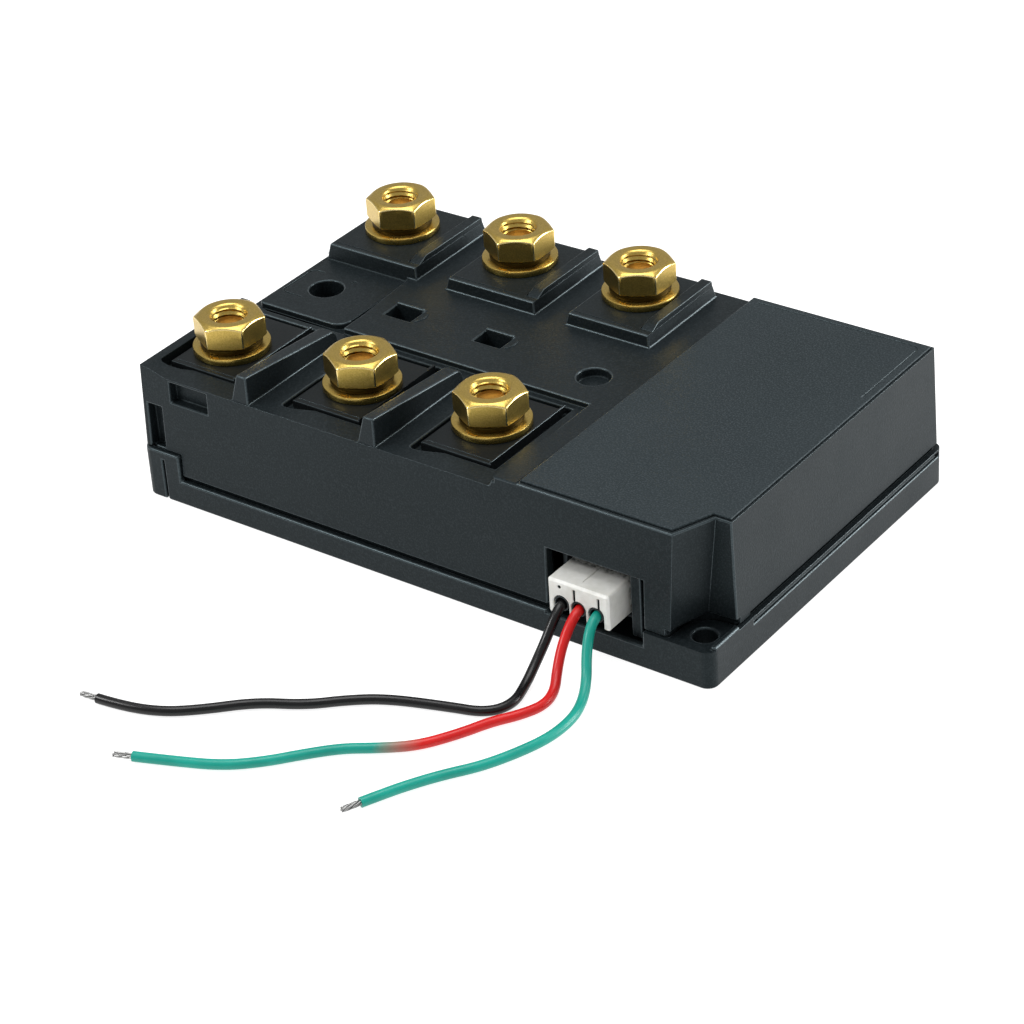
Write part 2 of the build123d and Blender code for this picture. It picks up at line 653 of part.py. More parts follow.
def copper_block(nut_x, nut_y, length, index, label):
    """Copper end block with the stud's hole and two slots for the resistance plates."""
    with BuildPart() as block:
        with BuildSketch(Plane.XY.offset(copper_bottom)):
            with Locations((nut_x, nut_y)):
                Rectangle(length, 2 * copper_half)
                Circle(stud_r + 0.05, mode=Mode.SUBTRACT)
        extrude(amount=plate_under_z - copper_bottom)
        chamfer(block.edges().filter_by(Axis.Z).filter_by(GeomType.LINE), 0.5)
        with BuildSketch(Plane.XY.offset(strip_bottom)):
            strip_outline(index)
        extrude(amount=strip_height, mode=Mode.SUBTRACT)
    save(block, label)


for index in range(3):
    copper_block(*front_nuts[index], front_copper_length, index, f"copper_block_front_{index + 1}")
    copper_block(*rear_nuts[index], rear_copper_length, index, f"copper_block_rear_{index + 1}")
    with BuildPart() as resistance_strips:
        with BuildSketch(Plane.XY.offset(strip_bottom)):
            strip_outline(index)
        extrude(amount=strip_height)
    save(resistance_strips, f"resistance_strips_{index + 1}")


# ---------------------------------------------------------------- circuit board and its parts
board_left, board_right = 27.5, 63.5
board_front, board_back = -29.0, 33.0
pin_w = 0.9
pin_drop_y = -26.0
pin_xs = [plug_x - wire_pitch, plug_x, plug_x + wire_pitch]
lead_r = 0.4
lead_z = 7.6
lead_end_x = 29.4
lead_foot = 6.6
front_lead_y = [-19.2, -20.5, -21.8]
rear_lead_y = [23.6, 25.0, 26.4]

with BuildPart() as circuit_board:
    with BuildSketch(Plane.XY.offset(board_bottom)):
        with Locations(((board_left + board_right) / 2, (board_front + board_back) / 2)):
            Rectangle(board_right - board_left, board_back - board_front)
        fillet(vertices(), 1.0)
        with Locations(*board_posts):
            Circle(1.2, mode=Mode.SUBTRACT)
        with Locations(*[(x, pin_drop_y) for x in pin_xs]):
            Circle(0.7, mode=Mode.SUBTRACT)
    extrude(amount=board_t)
save(circuit_board, "circuit_board")


def board_parts(places, size, height, label, edge=0.2):
    """One kind of small moulded part, standing on the board at each listed place."""
    with BuildPart() as parts:
        with BuildSketch(Plane.XY.offset(board_top)):
            with Locations(*places):
                Rectangle(*size)
        extrude(amount=height)
        chamfer(parts.faces().group_by(Axis.Z)[-1].edges(), edge)
    save(parts, label)


board_parts([(38.0, -14.0), (38.0, 2.0), (38.0, 18.0)], (5.0, 6.0), 1.6, "amplifier_chips")
board_parts([(51.0, 4.0)], (9.0, 9.0), 1.3, "controller_chip")
board_parts([(34.0, -7.0), (34.0, 9.0), (42.5, -7.0), (42.5, 9.0), (46.0, -12.0), (50.0, -12.0), (46.0, 14.0),
             (50.0, 14.0)], (1.3, 2.0), 0.6, "board_resistors", edge=0.1)
board_parts([(57.0, 20.0)], (6.5, 6.5), 3.2, "power_inductor", edge=0.8)

with BuildPart() as capacitors:
    with BuildSketch(Plane.XY.offset(board_top)):
        with Locations((57.5, -14.0), (57.5, -6.0), (48.0, 24.5)):
            Circle(3.1)
    extrude(amount=7.5)
    fillet(capacitors.faces().group_by(Axis.Z)[-1].edges(), 0.5)
save(capacitors, "capacitors")


def sense_lead(foot_x, lead_y):
    """One thin lead from the underside of a copper block along the floor to the board."""
    with BuildLine() as route:
        FilletPolyline((foot_x, lead_y, copper_bottom), (foot_x, lead_y, lead_z), (lead_end_x, lead_y, lead_z),
                       (lead_end_x, lead_y, board_top), radius=0.9)
    with BuildSketch(Plane((foot_x, lead_y, copper_bottom), z_dir=(0, 0, -1))) as section:
        Circle(lead_r)
    sweep(section.sketch, path=route.wire())


with BuildPart() as sense_leads:
    for index in range(3):
        sense_lead(front_nuts[index][0] + lead_foot, front_lead_y[index])
        sense_lead(rear_nuts[index][0] + lead_foot, rear_lead_y[index])
save(sense_leads, "sense_leads")


# ---------------------------------------------------------------- socket for the plug
socket_front, socket_back, socket_floor_y = -38.5, -27.2, -33.4
socket_left, socket_right = 33.1, 50.3
socket_top = 17.3
socket_clear = 0.5

with BuildPart() as socket_body:
    with BuildSketch(Plane.XZ.offset(-socket_back)):
        with Locations((socket_left, board_top)):
            Rectangle(socket_right - socket_left, socket_top - board_top, align=(Align.MIN, Align.MIN))
    extrude(amount=socket_back - socket_front)
    fillet(socket_body.edges().filter_by(Axis.Y), 0.4)
    with BuildSketch(Plane.XZ.offset(-socket_floor_y)):
        with Locations((plug_x - plug_width / 2 - socket_clear, plug_bottom - socket_clear)):
            Rectangle(plug_width + 2 * socket_clear, plug_top - plug_bottom + 2 * socket_clear,
                      align=(Align.MIN, Align.MIN))
        fillet(vertices(), 0.5)
    extrude(amount=10, mode=Mode.SUBTRACT)
    with BuildSketch(Plane.XZ.offset(-socket_back - 1)):
        with Locations(*[(x, wire_z) for x in pin_xs]):
            Rectangle(pin_w + 0.02, pin_w + 0.02)
    extrude(amount=10, mode=Mode.SUBTRACT)
save(socket_body, "socket_body")

with BuildPart() as socket_pins:
    with BuildSketch(Plane.XZ.offset(-pin_drop_y - pin_w / 2)):
        with Locations(*[(x, wire_z) for x in pin_xs]):
            Rectangle(pin_w, pin_w)
    extrude(amount=37.8 + pin_drop_y + pin_w / 2)
    with BuildSketch(Plane.XY.offset(board_bottom - 0.9)):
        with Locations(*[(x, pin_drop_y) for x in pin_xs]):
            Rectangle(pin_w, pin_w)
    extrude(amount=wire_z - board_bottom + 1.2)
save(socket_pins, "socket_pins")


# ---------------------------------------------------------------- plug
slot_r = 1.72
slot_back = -43.4
contact_w, contact_front, contact_back = 2.6, -42.6, -34.3
cavity_w = 2.8
seal_r = 1.6

with BuildPart() as plug_body:
    with BuildSketch(Plane.XZ.offset(-plug_back)):
        with Locations((plug_x, (plug_bottom + plug_top) / 2)):
            Rectangle(plug_width, plug_top - plug_bottom)
        fillet(vertices(), 0.6)
    extrude(amount=plug_back - plug_front)
    chamfer(plug_body.edges().group_by(Axis.Y)[0], 0.45)
    # open slots below the three wires
    with BuildSketch(Plane.XZ.offset(-slot_back)):
        with Locations(*[(x, wire_z) for x in pin_xs]):
            Circle(slot_r)
            Rectangle(2 * slot_r, 6.0, align=(Align.CENTER, Align.MAX))
    extrude(amount=6, mode=Mode.SUBTRACT)
    # wire holes, then the square chambers for the contacts
    with BuildSketch(Plane.XZ.offset(-slot_back - 1.0)):
        with Locations(*[(x, wire_z) for x in pin_xs]):
            Circle(wire_r + 0.1)
    extrude(amount=2.0, mode=Mode.SUBTRACT)
    with BuildSketch(Plane.XZ.offset(-plug_back - 1.0)):
        with Locations(*[(x, wire_z) for x in pin_xs]):
            Rectangle(cavity_w, cavity_w)
    extrude(amount=plug_back + 1.0 - contact_front + 0.2, mode=Mode.SUBTRACT)
    # two fine slits over the slots, a gate mark, and the seam along the top
    with BuildSketch(Plane.XZ.offset(-plug_front - 0.7)):
        with Locations((plug_x - 0.9, 13.3), (plug_x + 4.6, 13.1)):
            Rectangle(0.35, 2.4)
        with Locations((plug_x - 4.2, 14.2)):
            Circle(0.3)
    extrude(amount=2, mode=Mode.SUBTRACT)
    with BuildSketch(Plane.XY.offset(plug_top - 0.15)):
        with Locations((plug_x, -40.5)):
            Rectangle(0.3, 7.0)
    extrude(amount=1, mode=Mode.SUBTRACT)
save(plug_body, "plug_body")

with BuildPart() as plug_contacts:
    with BuildSketch(Plane.XZ.offset(-contact_back)):
        with Locations(*[(x, wire_z) for x in pin_xs]):
            Rectangle(contact_w, contact_w)
            Rectangle(pin_w + 0.2, pin_w + 0.2, mode=Mode.SUBTRACT)
    extrude(amount=5.5)
    with BuildSketch(Plane.XZ.offset(-contact_back + 5.5)):
        with Locations(*[(x, wire_z) for x in pin_xs]):
            Rectangle(contact_w - 0.6, contact_w - 0.6)
    extrude(amount=contact_back - 5.5 - contact_front)
save(plug_contacts, "plug_contacts")

with BuildPart() as wire_seals:
    with BuildSketch(Plane.XZ.offset(-slot_back)):
        with Locations(*[(x, wire_z) for x in pin_xs]):
            Circle(seal_r)
            Circle(wire_r + 0.03, mode=Mode.SUBTRACT)
    extrude(amount=1.2)
    # bell mouth round the wire's first bend
    with BuildSketch(Plane.XZ.offset(-slot_back + 1.2)):
        with Locations(*[(x, wire_z) for x in pin_xs]):
            Circle(seal_r)
            Circle(wire_r + 0.25, mode=Mode.SUBTRACT)
    extrude(amount=1.3)
save(wire_seals, "wire_seals")


# ---------------------------------------------------------------- wires
exit_y = -46.1
floor_z = wire_r
tip_r, tip_length = 0.55, 4.2
wire_routes = {
    "black": [(37.8, contact_front, wire_z), (37.8, exit_y, wire_z), (38.1, -49.1, 8.8), (38.2, -52.2, 5.8),
              (38.4, -55.8, 3.2), (39.1, -60.1, 1.25), (40.6, -66.2, floor_z), (37.9, -71.0, floor_z),
              (30.5, -73.1, floor_z), (19.5, -76.9, floor_z), (13.4, -81.0, floor_z), (7.6, -86.3, floor_z),
              (-0.9, -90.5, floor_z), (-8.0, -97.4, floor_z), (-14.0, -101.9, floor_z), (-21.5, -104.3, floor_z),
              (-27.4, -104.9, floor_z)],
    "red": [(41.7, contact_front, wire_z), (41.7, exit_y, wire_z), (41.8, -49.2, 8.9), (42.0, -52.2, 6.0),
            (43.1, -55.6, 3.0), (44.9, -59.0, 1.2), (45.7, -63.5, floor_z), (43.6, -68.3, floor_z),
            (40.3, -72.8, floor_z), (37.6, -78.6, floor_z), (33.2, -85.6, floor_z), (27.5, -89.9, floor_z),
            (22.0, -93.3, floor_z), (17.2, -98.2, floor_z), (12.2, -104.0, floor_z), (6.4, -108.8, floor_z),
            (-1.8, -112.3, floor_z), (-9.5, -115.2, floor_z)],
    "green": [(45.6, contact_front, wire_z), (45.6, exit_y, wire_z), (46.2, -49.2, 8.9), (47.4, -52.0, 5.8),
              (49.3, -54.9, 2.8), (51.0, -58.7, 1.15), (52.6, -64.2, floor_z), (52.3, -71.4, floor_z),
              (49.7, -78.6, floor_z), (46.6, -84.8, floor_z), (42.2, -90.5, floor_z), (38.6, -96.4, floor_z),
              (36.3, -101.0, floor_z), (34.7, -104.4, floor_z)],
}


def bend_radii(points):
    """Largest comfortable bend at each inner point of a route."""
    radii = []
    for before, here, after in zip(points, points[1:], points[2:]):
        run_in = Vector(*here) - Vector(*before)
        run_out = Vector(*after) - Vector(*here)
        half_turn = math.radians(run_in.get_angle(run_out)) / 2
        radii.append(0.45 * min(run_in.length, run_out.length) / math.tan(half_turn))
    return radii


for colour, points in wire_routes.items():
    radii = bend_radii(points)
    with BuildPart() as wire:
        with BuildLine() as route:
            FilletPolyline(*points, radius=radii)
        with BuildSketch(Plane(points[0], z_dir=Vector(*points[1]) - Vector(*points[0]))):
            Circle(wire_r)
        sweep(path=route.wire())
    save(wire, f"wire_{colour}")
    length = route.wire().length
    fill = wire.part.volume / (math.pi * wire_r**2 * length)
    print(f"wire_{colour}: length {length:.1f}, volume ratio {fill:.4f}, radii",
          [round(radius, 1) for radius in radii])
    heading = Vector(*points[-1]) - Vector(*points[-2])
    with BuildPart() as tip:
        with BuildSketch(Plane(points[-1], z_dir=heading)):
            Circle(tip_r)
        extrude(amount=tip_length)
        fillet(tip.edges().filter_by(GeomType.CIRCLE).sort_by_distance(Vector(*points[-1]))[-1], 0.2)
    save(tip, f"wire_tip_{colour}")


# ---------------------------------------------------------------- screws
def screws(places, foot, head_r, shank_r, length, label, countersunk):
    """A set of like screws: countersunk from below, or round-headed from above."""
    with BuildPart() as group:
        for x, y in places:
            with BuildSketch(Plane.XZ.offset(-y)):
                with BuildLine():
                    if countersunk:
                        Polyline((x, foot), (x + head_r, foot), (x + shank_r, foot + head_r - shank_r),
                                 (x + shank_r, foot + length), (x, foot + length), close=True)
                    else:
                        Polyline((x, foot), (x + head_r - 0.4, foot), (x + head_r, foot - 0.4),
                                 (x + head_r, foot - 1.3), (x + shank_r, foot - 1.3),
                                 (x + shank_r, foot - length), (x, foot - length), close=True)
                make_face()
            revolve(axis=Axis((x, y, 0), (0, 0, 1)))
        with BuildSketch(Plane.XY.offset(foot)):
            with Locations(*places):
                Rectangle(2.4, 0.6)
                Rectangle(0.6, 2.4)
        extrude(amount=0.6 if countersunk else -0.6, mode=Mode.SUBTRACT)
    save(group, label)


screws(case_screws, 0.15, 2.9, 1.15, 13.4, "case_screws", True)
screws(board_posts, board_top + 1.3, 2.0, 0.95, 4.6, "board_screws", False)
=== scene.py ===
"""Looks for the battery monitor shunt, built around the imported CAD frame.

The frame is in metres. Places and sizes written here are in millimetres and are scaled by MM where they
are used; materials, lights and the floor are written in metres.
"""

import math

import bmesh
import bpy
from mathutils import Matrix, Vector


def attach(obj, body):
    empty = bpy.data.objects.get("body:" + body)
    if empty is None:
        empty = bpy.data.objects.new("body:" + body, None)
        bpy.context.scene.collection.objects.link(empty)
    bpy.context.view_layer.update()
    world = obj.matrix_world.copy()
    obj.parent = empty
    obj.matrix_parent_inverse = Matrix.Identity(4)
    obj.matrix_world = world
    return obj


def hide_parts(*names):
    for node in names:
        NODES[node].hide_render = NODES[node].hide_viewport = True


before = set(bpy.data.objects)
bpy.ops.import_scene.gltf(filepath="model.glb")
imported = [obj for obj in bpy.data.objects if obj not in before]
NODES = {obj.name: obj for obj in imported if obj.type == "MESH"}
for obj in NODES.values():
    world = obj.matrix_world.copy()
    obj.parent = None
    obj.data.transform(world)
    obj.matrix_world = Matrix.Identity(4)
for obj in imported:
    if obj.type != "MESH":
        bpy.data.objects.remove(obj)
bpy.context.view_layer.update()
MM = 0.001
CHANNELS = (1, 2, 3)


def link(obj):
    """Puts an object in the scene."""
    bpy.context.scene.collection.objects.link(obj)
    return obj


# ---------------------------------------------------------------- camera
CAMERA_PLACE = (337.01, -443.62, 344.04)
CAMERA_AZIMUTH, CAMERA_ELEVATION, CAMERA_ROLL = 37.88, 32.13, -4.0


def look_axes(azimuth, elevation, roll):
    """The camera's right, up and back directions, from angles in degrees."""
    a, e, r = (math.radians(v) for v in (azimuth, elevation, roll))
    back = Vector((math.sin(a) * math.cos(e), -math.cos(a) * math.cos(e), math.sin(e)))
    right = Vector((0, 0, 1)).cross(back).normalized()
    up = back.cross(right)
    return (
        right * math.cos(r) + up * math.sin(r),
        up * math.cos(r) - right * math.sin(r),
        back,
    )


camera_data = bpy.data.cameras.new("camera")
camera_data.sensor_width = 36.0
camera_data.lens = 112.586
camera_data.clip_start, camera_data.clip_end = 0.02, 20.0
camera = link(bpy.data.objects.new("camera", camera_data))
camera_axes = Matrix(look_axes(CAMERA_AZIMUTH, CAMERA_ELEVATION, CAMERA_ROLL)).transposed()
camera.matrix_world = Matrix.Translation(Vector(CAMERA_PLACE) * MM) @ camera_axes.to_4x4()
bpy.context.scene.camera = camera


# ---------------------------------------------------------------- material tools
class Nodes:
    """One material's node tree, with short names for the nodes used here."""

    def __init__(self, name):
        self.material = bpy.data.materials.new(name)
        self.material.use_nodes = True
        self.tree = self.material.node_tree
        self.shader = self.tree.nodes["Principled BSDF"]
        self.coords = None

    def new(self, kind, **inputs):
        """A node with uniform inputs; an underscore stands for a space in an input's name."""
        node = self.tree.nodes.new(kind)
        for key, value in inputs.items():
            node.inputs[key.replace("_", " ")].default_value = value
        return node

    def link(self, a, b):
        self.tree.links.new(a, b)

    def set(self, **inputs):
        """Uniform values on the shader itself."""
        for key, value in inputs.items():
            self.shader.inputs[key.replace("_", " ")].default_value = value

    def place(self, stretch=(1, 1, 1)):
        """Object coordinates, stretched if asked."""
        if self.coords is None:
            self.coords = self.new("ShaderNodeTexCoord")
        if tuple(stretch) == (1, 1, 1):
            return self.coords.outputs["Object"]
        mapping = self.new("ShaderNodeMapping", Scale=stretch)
        self.link(self.coords.outputs["Object"], mapping.inputs["Vector"])
        return mapping.outputs["Vector"]

    def along(self, axis):
        """One object coordinate."""
        split = self.new("ShaderNodeSeparateXYZ")
        self.link(self.place(), split.inputs["Vector"])
        return split.outputs[axis]

    def noise(self, scale, detail=2.0, rough=0.5, stretch=(1, 1, 1)):
        node = self.new("ShaderNodeTexNoise", Scale=scale, Detail=detail, Roughness=rough)
        self.link(self.place(stretch), node.inputs["Vector"])
        return node.outputs["Fac"]

    def spread(self, value, source, target=(0.0, 1.0)):
        """Maps one range of values to another, clamped."""
        node = self.new("ShaderNodeMapRange", From_Min=source[0], From_Max=source[1],
                        To_Min=target[0], To_Max=target[1])
        self.link(value, node.inputs["Value"])
        return node.outputs["Result"]

    def mix(self, factor, a, b):
        """A blend of two colours, each a tuple or another node's output."""
        node = self.tree.nodes.new("ShaderNodeMix")
        node.data_type = "RGBA"
        self.link(factor, node.inputs["Factor"])
        for key, value in (("A", a), ("B", b)):
            socket = next(s for s in node.inputs if s.name == key and s.type == "RGBA")
            if isinstance(value, tuple):
                socket.default_value = (*value, 1.0)
            else:
                self.link(value, socket)
        return next(s for s in node.outputs if s.type == "RGBA")

    def times(self, a, b):
        node = self.tree.nodes.new("ShaderNodeMath")
        node.operation = "MULTIPLY"
        self.link(a, node.inputs[0])
        self.link(b, node.inputs[1])
        return node.outputs["Value"]

    def bump(self, height, strength, distance):
        node = self.new("ShaderNodeBump", Strength=strength, Distance=distance)
        self.link(height, node.inputs["Height"])
        return node.outputs["Normal"]

    def finish(self, colour, roughness=None, normal=None):
        """Joins the results to the shader."""
        for value, key in ((colour, "Base Color"), (roughness, "Roughness"), (normal, "Normal")):
            if value is not None:
                self.link(value, self.shader.inputs[key])
        return self.material


def moulded(name, dark, light, speck, rough, grain=0.25, specular=0.5):
    """Dark moulded plastic: fine spark-eroded grain, pale specks, faint large-scale variation."""
    n = Nodes(name)
    n.set(Specular_IOR_Level=specular, Specular_Tint=(0.72, 0.93, 1.0, 1.0))
    fine = n.noise(2300, 2.0, 0.6)
    specks = n.spread(n.noise(3000, 1.0, 0.5), (0.46, 0.70), (0.0, 0.55))
    patch = n.spread(n.noise(26, 3.0, 0.55), (0.3, 0.7))
    colour = n.mix(patch, dark, light)
    colour = n.mix(specks, colour, speck)
    roughness = n.spread(n.noise(60, 3.0, 0.6), (0.25, 0.75), (rough - 0.05, rough + 0.06))
    return n.finish(colour, roughness, n.bump(fine, grain, 0.00006))


def brass(name, deep, pale, rough, grain, scale):
    """Satin brass with a fine tumbled grain."""
    n = Nodes(name)
    n.set(Metallic=1.0)
    fine = n.noise(scale, 3.0, 0.65)
    colour = n.mix(n.spread(fine, (0.35, 0.65)), deep, pale)
    roughness = n.spread(n.noise(300, 3.0, 0.6), (0.25, 0.75), (rough - 0.02, rough + 0.03))
    return n.finish(colour, roughness, n.bump(fine, grain, 0.00004))


def metal(name, base, pale, rough, stretch=(1, 1, 1), grain=0.1):
    """Rolled or plated metal, its grain directional where it is stretched."""
    n = Nodes(name)
    n.set(Metallic=1.0)
    lines = n.noise(700, 4.0, 0.6, stretch)
    colour = n.mix(n.spread(lines, (0.3, 0.7)), base, pale)
    roughness = n.spread(lines, (0.2, 0.8), (rough - 0.06, rough + 0.08))
    return n.finish(colour, roughness, n.bump(lines, grain, 0.00005))


def insulation(name, colours, rough=0.33, other=None, change=None):
    """Extruded wire insulation, glossy with a faint orange peel.

    Given other colours, it changes to them between two places along X.
    """
    n = Nodes(name)
    n.set(Specular_IOR_Level=0.35)
    peel = n.noise(900, 2.0, 0.5)
    tone = n.spread(n.noise(120, 3.0, 0.6), (0.3, 0.7))
    colour = n.mix(tone, *colours)
    if other:
        colour = n.mix(n.spread(n.along("X"), change), colour, n.mix(tone, *other))
    roughness = n.spread(n.noise(300, 3.0, 0.6), (0.3, 0.7), (rough - 0.06, rough + 0.08))
    return n.finish(colour, roughness, n.bump(peel, 0.12, 0.00008))


def board_material():
    """Green solder resist over faint copper tracks."""
    n = Nodes("circuit_board")
    n.set(Specular_IOR_Level=0.5)
    tracks = n.new("ShaderNodeTexBrick", Scale=160.0, Mortar_Size=0.06)
    n.link(n.place(), tracks.inputs["Vector"])
    colour = n.mix(tracks.outputs["Fac"], (0.006, 0.085, 0.03), (0.012, 0.15, 0.05))
    roughness = n.spread(n.noise(300), (0.3, 0.7), (0.3, 0.42))
    return n.finish(colour, roughness, n.bump(tracks.outputs["Fac"], 0.2, 0.00004))


def nylon_material():
    """Translucent off-white nylon, mottled, with a near-black band in patches across it where it enters
    the socket.
    """
    n = Nodes("plug_nylon")
    n.set(Subsurface_Weight=0.35, Subsurface_Scale=0.0012, Subsurface_Radius=(1.0, 0.95, 0.85),
          Specular_IOR_Level=0.4)
    mottle = n.spread(n.noise(260, 3.0, 0.6), (0.38, 0.66))
    colour = n.mix(mottle, (0.72, 0.72, 0.69), (0.60, 0.60, 0.56))
    depth = n.along("Y")
    dark_band_front = n.spread(depth, (-0.0396, -0.0384))
    dark_band_back = n.spread(depth, (-0.0378, -0.0368), (1.0, 0.0))
    patches = n.spread(n.noise(800, 3.0, 0.6), (0.44, 0.62), (0.0, 0.8))
    dark_band = n.times(n.times(dark_band_front, dark_band_back), patches)
    colour = n.mix(dark_band, colour, (0.05, 0.052, 0.05))
    roughness = n.spread(n.noise(500, 2.0, 0.6), (0.3, 0.7), (0.30, 0.42))
    return n.finish(colour, roughness, n.bump(n.noise(1500, 2.0, 0.6), 0.12, 0.00006))


BLACK = (0.0025, 0.0025, 0.003), (0.004, 0.004, 0.0045)
RED = (0.50, 0.006, 0.006), (0.60, 0.010, 0.009)
TEAL = (0.003, 0.24, 0.185), (0.006, 0.31, 0.24)
CREAM = (0.60, 0.58, 0.50), (0.68, 0.66, 0.58)

MAT = {
    "case": moulded(
        "case_plastic", (0.0046, 0.0068, 0.0078), (0.0066, 0.0092, 0.0104), (0.020, 0.025, 0.028),
        rough=0.40, grain=0.5, specular=0.16),
    # painted highlight: lighter plastic for the rounds of the case's outer edges
    "case_edge_highlight": moulded(
        "case_plastic_painted_highlight", (0.014, 0.019, 0.021), (0.022, 0.028, 0.031), (0.05, 0.06, 0.066),
        rough=0.28, grain=0.15, specular=0.40),
    "lid": moulded(
        "lid_plastic", (0.0110, 0.0155, 0.0175), (0.0145, 0.0195, 0.0220), (0.044, 0.054, 0.060),
        rough=0.46, grain=0.6, specular=0.18),
    "seat": moulded(
        "seat_plastic", (0.0040, 0.0050, 0.0055), (0.0060, 0.0070, 0.0075), (0.014, 0.016, 0.017),
        rough=0.34, grain=0.2, specular=0.16),
    # painted highlight: lighter plastic for the rounds of the seats' outer edges
    "seat_edge_highlight": moulded(
        "seat_plastic_painted_highlight", (0.018, 0.022, 0.024), (0.028, 0.034, 0.037), (0.05, 0.06, 0.065),
        rough=0.22, grain=0.1, specular=0.5),
    "socket": moulded(
        "socket_plastic", (0.008, 0.009, 0.01), (0.012, 0.013, 0.014), (0.02, 0.02, 0.02), rough=0.45),
    "chip": moulded(
        "chip_black", (0.010, 0.010, 0.011), (0.014, 0.014, 0.015), (0.03, 0.03, 0.03), rough=0.5),
    "seal": moulded(
        "seal_rubber", (0.008, 0.008, 0.008), (0.013, 0.013, 0.013), (0.02, 0.02, 0.02), rough=0.55),
    "nut": brass(
        "terminal_brass", (0.44, 0.305, 0.070), (0.60, 0.43, 0.115), rough=0.30, grain=0.55, scale=3400),
    # painted highlight: lighter brass for the nut's corner and crown rounds
    "nut_edge_highlight": brass(
        "terminal_brass_painted_highlight", (0.78, 0.60, 0.24), (0.88, 0.70, 0.32), rough=0.20, grain=0.1, scale=3400),
    "washer": brass(
        "washer_brass", (0.46, 0.325, 0.080), (0.58, 0.415, 0.115), rough=0.27, grain=0.2, scale=3400),
    # painted shade: lock washer brass made near black to stand for the shade under the nuts
    "lock": brass(
        "lock_washer_brass_painted_shade", (0.030, 0.019, 0.004), (0.050, 0.033, 0.007),
        rough=0.50, grain=0.25, scale=3400),
    "stud": brass(
        "stud_brass", (0.42, 0.22, 0.04), (0.54, 0.30, 0.06), rough=0.32, grain=0.2, scale=2600),
    "copper": metal("copper_block", (0.70, 0.36, 0.20), (0.80, 0.46, 0.28), 0.3, stretch=(1, 6, 1)),
    "manganin": metal(
        "manganin_strip", (0.42, 0.32, 0.25), (0.52, 0.41, 0.33), 0.34, stretch=(1, 0.1, 1)),
    "steel": metal("screw_steel", (0.50, 0.51, 0.53), (0.62, 0.63, 0.65), 0.3),
    "tinned": metal("tinned_metal", (0.62, 0.62, 0.60), (0.80, 0.80, 0.78), 0.25, grain=0.2),
    "strand": metal("tinned_strand", (0.20, 0.20, 0.20), (0.46, 0.46, 0.45), 0.28, grain=0.2),
    "can": metal("capacitor_can", (0.60, 0.61, 0.63), (0.70, 0.71, 0.73), 0.28),
    "lead": insulation("lead_insulation", CREAM),
    "black": insulation("wire_black", BLACK, rough=0.26),
    "red": insulation("wire_red", RED, rough=0.32, other=TEAL, change=(0.034, 0.027)),
    "green": insulation("wire_green", TEAL, rough=0.32),
    "board": board_material(),
    "nylon": nylon_material(),
}


# ---------------------------------------------------------------- mesh tools
def skin(bm, rows, closed=False):
    """Joins rows of vertices that run round and round; closed joins the last row to the first."""
    pairs = list(zip(rows, rows[1:]))
    if closed:
        pairs.append((rows[-1], rows[0]))
    for a, b in pairs:
        for k in range(len(a)):
            n = (k + 1) % len(a)
            bm.faces.new((a[k], a[n], b[n], b[k]))


def mesh_object(name, bm, material, smooth=None, edge=None):
    """An object from a bmesh, smooth below an angle in degrees; edge is its second material, which the
    nuts use for a painted highlight.
    """
    mesh = bpy.data.meshes.new(name)
    bmesh.ops.recalc_face_normals(bm, faces=bm.faces)
    bm.to_mesh(mesh)
    bm.free()
    mesh.materials.append(material)
    if edge:
        mesh.materials.append(edge)
    if smooth:
        mesh.shade_smooth()
        mesh.set_sharp_from_angle(angle=math.radians(smooth))
    return link(bpy.data.objects.new(name, mesh))


def shade_by_area(obj):
    """Lets the largest face at a corner set its shading, so that flats stay flat beside rounds."""
    shade = obj.modifiers.new("shade", "WEIGHTED_NORMAL")
    shade.weight = 100
    shade.keep_sharp = True


# ---------------------------------------------------------------- wires
WIRE_R = 1.0
FLOOR = 1.0                      # height of a wire's middle where it lies on the surface
START_Y, EXIT_Y = -42.6, -46.1   # where the wires are held inside the plug, and the plug's face
WIRE_Z = 10.6
ROUTES = {
    "black": [(37.8, START_Y, WIRE_Z), (37.8, EXIT_Y, WIRE_Z), (38.1, -49.1, 8.8), (38.2, -52.2, 5.8),
              (38.4, -55.8, 3.2), (39.1, -60.1, 1.25), (40.6, -66.2, FLOOR), (37.9, -71.0, FLOOR),
              (30.5, -73.1, FLOOR), (19.5, -76.9, FLOOR), (13.4, -81.0, FLOOR), (7.6, -86.3, FLOOR),
              (-0.9, -90.5, FLOOR), (-8.0, -97.4, FLOOR), (-14.0, -101.9, FLOOR),
              (-21.5, -104.3, FLOOR), (-27.4, -104.9, FLOOR)],
    "red": [(41.7, START_Y, WIRE_Z), (41.7, EXIT_Y, WIRE_Z), (41.8, -49.2, 8.9), (42.0, -52.2, 6.0),
            (43.1, -55.6, 3.0), (44.9, -59.0, 1.2), (45.7, -63.5, FLOOR), (43.6, -68.3, FLOOR),
            (40.3, -72.8, FLOOR), (37.6, -78.6, FLOOR), (33.2, -85.6, FLOOR), (27.5, -89.9, FLOOR),
            (22.0, -93.3, FLOOR), (17.2, -98.2, FLOOR), (12.2, -104.0, FLOOR), (6.4, -108.8, FLOOR),
            (-1.8, -112.3, FLOOR), (-9.5, -115.2, FLOOR)],
    "green": [(45.6, START_Y, WIRE_Z), (45.6, EXIT_Y, WIRE_Z), (46.2, -49.2, 8.9), (47.4, -52.0, 5.8),
              (49.3, -54.9, 2.8), (51.0, -58.7, 1.15), (52.6, -64.2, FLOOR), (52.3, -71.4, FLOOR),
              (49.7, -78.6, FLOOR), (46.6, -84.8, FLOOR), (42.2, -90.5, FLOOR), (38.6, -96.4, FLOOR),
              (36.3, -101.0, FLOOR), (34.7, -104.4, FLOOR)],
}

